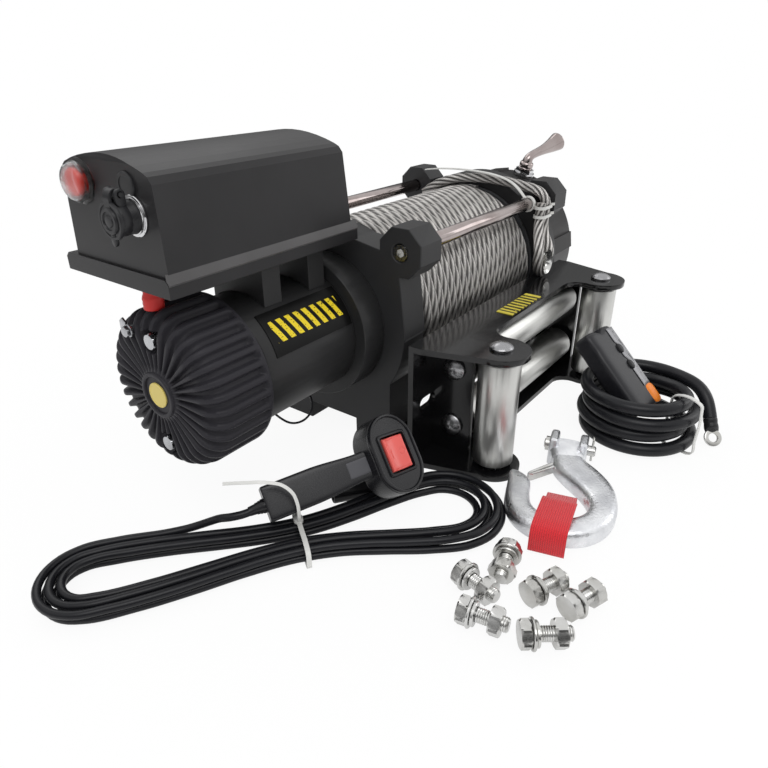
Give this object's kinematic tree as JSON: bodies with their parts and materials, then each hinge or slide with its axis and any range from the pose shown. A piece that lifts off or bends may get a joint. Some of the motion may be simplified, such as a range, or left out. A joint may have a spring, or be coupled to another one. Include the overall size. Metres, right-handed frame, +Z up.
{
  "type": "electric recovery winch",
  "caption": "Electric vehicle recovery winch with wound wire rope, roller fairlead, control box, clevis hook, wired handset, remote and mounting kit.",
  "frame": {"origin": "centre of the four foot bolt holes, on the plane the feet stand on", "axes": "+X along the drum towards the gearbox, -Y towards the fairlead and the front, +Z up"},
  "size_m": [0.682, 0.4088, 0.272],
  "materials": {
    "black_gloss": "gloss",
    "black_satin": "satin",
    "cap_black": "matte",
    "chrome": "polished",
    "zinc": "bright zinc",
    "forged": "galvanised",
    "wire_rope": "drawn wire",
    "gear_steel": "machined",
    "drum_steel": "satin",
    "brass": "turned",
    "copper_wound": "varnished winding",
    "friction": "matte",
    "black_plastic": "fine texture",
    "cover_plastic": "satin",
    "red_plastic": "gloss",
    "red_rubber": "satin",
    "clear_rubber": "clear soft",
    "cable_black": "satin",
    "white_nylon": "satin",
    "yellow_plate": "satin",
    "red_webbing": "woven"
  },
  "bodies": {
    "winch": {"motor_support": "black_satin", "gear_support": "black_gloss", "tie_rods": "chrome", "tie_rod_bolts": "zinc", "drum_bushes": "brass", "motor_end_bell": "black_satin", "motor_can": "black_satin", "field_poles": "copper_wound", "brush_gear": "black_plastic", "motor_cap": "cap_black", "cap_bolts": "zinc", "hub_badge": "yellow_plate", "can_label": "black_plastic", "motor_boots": "red_rubber", "earth_wire": "cable_black", "gear_housing": "black_gloss", "ring_gear": "gear_steel", "clutch_boss": "zinc", "box_cover": "cover_plastic", "box_bracket": "black_satin", "contactor": "black_plastic", "switch_boot": "clear_rubber", "socket_body": "zinc", "fairlead_frame": "black_gloss", "roller_pins": "black_gloss", "fairlead_plate": "yellow_plate", "rope_tail": "wire_rope", "thimble": "zinc", "rope_ties": "white_nylon", "hook_body": "forged", "clevis_pin": "zinc", "hook_strap": "red_webbing", "handset_body": "black_plastic", "handset_lead": "cable_black", "lead_hank": "cable_black", "cable_ties": "white_nylon", "lead_plug": "black_plastic", "power_coil": "cable_black", "power_cable": "cable_black", "cable_lugs": "zinc", "remote_body": "black_plastic", "mounting_fasteners": "zinc"},
    "drum_spool": {"drum": "drum_steel", "rope_winding": "wire_rope", "output_stage": "gear_steel"},
    "second_carrier": {"second_stage": "gear_steel"},
    "first_carrier": {"first_stage": "gear_steel"},
    "motor_rotor": {"drive_shaft": "gear_steel", "armature": "copper_wound", "drum_brake": "friction"},
    "clutch_handle": {"clutch_lever": "chrome"},
    "clutch_pin": {"clutch_plunger": "gear_steel"},
    "button": {"power_button": "red_plastic"},
    "cap": {"socket_cap": "zinc"},
    "roller_left": {"left_roller": "chrome"},
    "roller_right": {"right_roller": "chrome"},
    "roller_upper": {"upper_roller": "chrome"},
    "roller_lower": {"lower_roller": "chrome"},
    "latch": {"hook_latch": "zinc"},
    "rocker": {"handset_rocker": "red_plastic"}
  },
  "joints": [
    {"name": "motor_spin", "type": "hinge", "parent": "winch", "child": "motor_rotor", "pos_m": [0, 0, 0.112], "axis": [1, 0, 0], "continuous": true},
    {"name": "first_carrier_spin", "type": "hinge", "parent": "winch", "child": "first_carrier", "pos_m": [0, 0, 0.112], "axis": [1, 0, 0], "continuous": true},
    {"name": "second_carrier_spin", "type": "hinge", "parent": "winch", "child": "second_carrier", "pos_m": [0, 0, 0.112], "axis": [1, 0, 0], "continuous": true},
    {"name": "drum_spin", "type": "hinge", "parent": "winch", "child": "drum_spool", "pos_m": [0, 0, 0.112], "axis": [1, 0, 0], "continuous": true},
    {"name": "clutch_turn", "type": "hinge", "parent": "winch", "child": "clutch_handle", "pos_m": [0.193, -0.02032, 0.19351], "axis": [0, -0.2419, 0.9703], "range_deg": [0, 90]},
    {"name": "clutch_lift", "type": "slide", "parent": "winch", "child": "clutch_pin", "axis": [0, -0.2419, 0.9703], "range_m": [0, 0.003]},
    {"name": "button_push", "type": "slide", "parent": "winch", "child": "button", "axis": [1, 0, 0], "range_m": [0, 0.002], "stiffness_N_per_m": 600, "springref_m": -0.002},
    {"name": "cap_flip", "type": "hinge", "parent": "winch", "child": "cap", "pos_m": [-0.335, -0.018, 0.2535], "axis": [0, 1, 0], "range_deg": [0, 110], "stiffness_Nm_per_rad": 0.01, "springref_deg": -22.92},
    {"name": "left_roller_spin", "type": "hinge", "parent": "winch", "child": "roller_left", "pos_m": [-0.1106, -0.157, 0.056], "axis": [0, 0, 1], "continuous": true},
    {"name": "right_roller_spin", "type": "hinge", "parent": "winch", "child": "roller_right", "pos_m": [0.1106, -0.157, 0.056], "axis": [0, 0, 1], "continuous": true},
    {"name": "upper_roller_spin", "type": "hinge", "parent": "winch", "child": "roller_upper", "pos_m": [0, -0.119, 0.087], "axis": [1, 0, 0], "continuous": true},
    {"name": "lower_roller_spin", "type": "hinge", "parent": "winch", "child": "roller_lower", "pos_m": [0, -0.119, 0.033], "axis": [1, 0, 0], "continuous": true},
    {"name": "latch_swing", "type": "hinge", "parent": "winch", "child": "latch", "pos_m": [-0.08903, -0.20972, 0.009], "axis": [0, 0, 1], "range_deg": [0, 30], "stiffness_Nm_per_rad": 0.05, "springref_deg": -28.65},
    {"name": "rocker_tilt", "type": "hinge", "parent": "winch", "child": "rocker", "pos_m": [-0.20991, -0.11925, 0.04927], "axis": [-0.2104, -0.6178, -0.7576], "range_deg": [-10, 10], "stiffness_Nm_per_rad": 0.2}
  ],
  "couplings": [
    {"joint": "first_carrier_spin", "follows": "motor_spin", "ratio": 0.16667},
    {"joint": "second_carrier_spin", "follows": "motor_spin", "ratio": 0.027778},
    {"joint": "drum_spin", "follows": "motor_spin", "ratio": 0.0046296},
    {"joint": "clutch_lift", "follows": "clutch_turn", "m_per_rad": 0.0019099}
  ]
}
